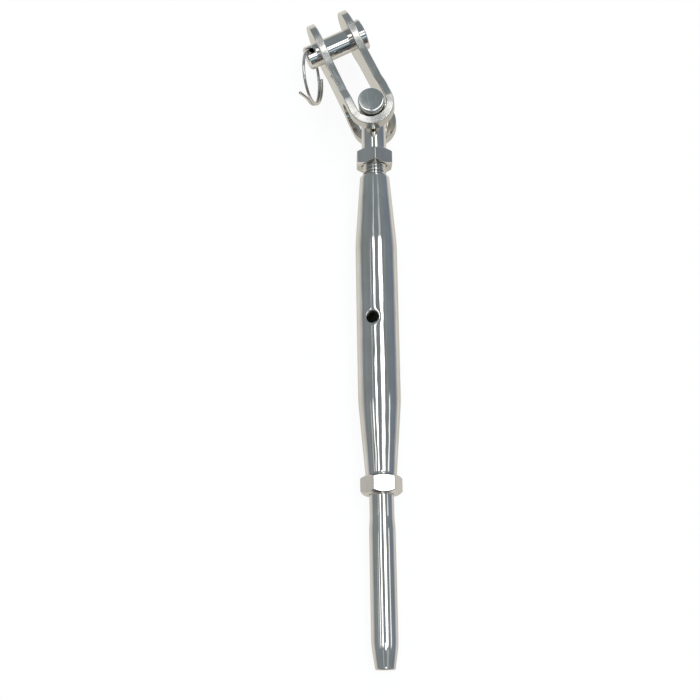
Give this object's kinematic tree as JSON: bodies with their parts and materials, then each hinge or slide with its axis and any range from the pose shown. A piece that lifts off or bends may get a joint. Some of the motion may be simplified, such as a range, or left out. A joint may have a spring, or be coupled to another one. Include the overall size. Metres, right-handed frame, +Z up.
{
  "type": "rigging turnbuckle",
  "caption": "Closed-body rigging turnbuckle: tapered tube with locknuts, a toggle jaw with clevis pin and split ring at one end, a swage stud for wire at the other.",
  "frame": {"origin": "centre of the mouth of the swage stud's wire bore", "axes": "+Y along the turnbuckle from the wire end to the toggle; +Z up, along the toggle's crossbar; +X to the right seen from above with the toggle away; the toggle leans towards -X at rest"},
  "size_m": [0.0486, 0.3341, 0.0366],
  "materials": {
    "body_polish": "mirror-polished stainless tube, fine lengthwise polishing lines",
    "nut_polish": "polished stainless, crisp hexagon",
    "stud_polish": "polished stainless terminal",
    "t_bolt_polish": "polished stainless, rolled thread",
    "strap_satin": "tumbled stainless plate, softly polished",
    "pin_polish": "polished stainless, turned",
    "ring_wire": "drawn stainless spring wire"
  },
  "bodies": {
    "body": {"body_tube": "body_polish"},
    "upper_nut": {"upper_locknut": "nut_polish"},
    "t_bolt": {"toggle_stud": "t_bolt_polish", "toggle_crossbar": "t_bolt_polish"},
    "toggle": {"toggle_strap": "strap_satin"},
    "pin": {"clevis_pin": "pin_polish"},
    "ring": {"split_ring": "ring_wire"},
    "lower_nut": {"lower_locknut": "nut_polish"},
    "stud": {"swage_stud": "stud_polish"}
  },
  "joints": [
    {"name": "body_turn", "type": "hinge", "parent": "body", "child": "upper_nut", "pos_m": [0, 0.2502, 0], "axis": [0, 1, 0], "range_deg": [0, 8640]},
    {"name": "upper_travel", "type": "slide", "parent": "upper_nut", "child": "t_bolt", "axis": [0, 1, 0], "range_m": [0, 0.042]},
    {"name": "toggle_swing", "type": "hinge", "parent": "t_bolt", "child": "toggle", "pos_m": [0, 0.2749, 0], "axis": [0, 0, 1], "range_deg": [-113.6, 66.4]},
    {"name": "pin_turn", "type": "hinge", "parent": "toggle", "child": "pin", "pos_m": [-0.01802, 0.31614, 0], "axis": [0.9164, 0.4003, 0], "continuous": true},
    {"name": "ring_swing", "type": "hinge", "parent": "pin", "child": "ring", "pos_m": [-0.0309, 0.31051, 0], "axis": [-0.0557, 0.1275, 0.9903], "range_deg": [-140, 16]},
    {"name": "lower_turn", "type": "hinge", "parent": "body", "child": "lower_nut", "pos_m": [0, 0.0842, 0], "axis": [0, 1, 0], "range_deg": [0, 8640]},
    {"name": "lower_travel", "type": "slide", "parent": "lower_nut", "child": "stud", "axis": [0, -1, 0], "range_m": [0, 0.042]}
  ],
  "couplings": [
    {"joint": "upper_travel", "follows": "body_turn", "m_per_rad": 0.00027852},
    {"joint": "lower_turn", "follows": "body_turn", "ratio": 1},
    {"joint": "lower_travel", "follows": "body_turn", "m_per_rad": 0.00027852}
  ]
}
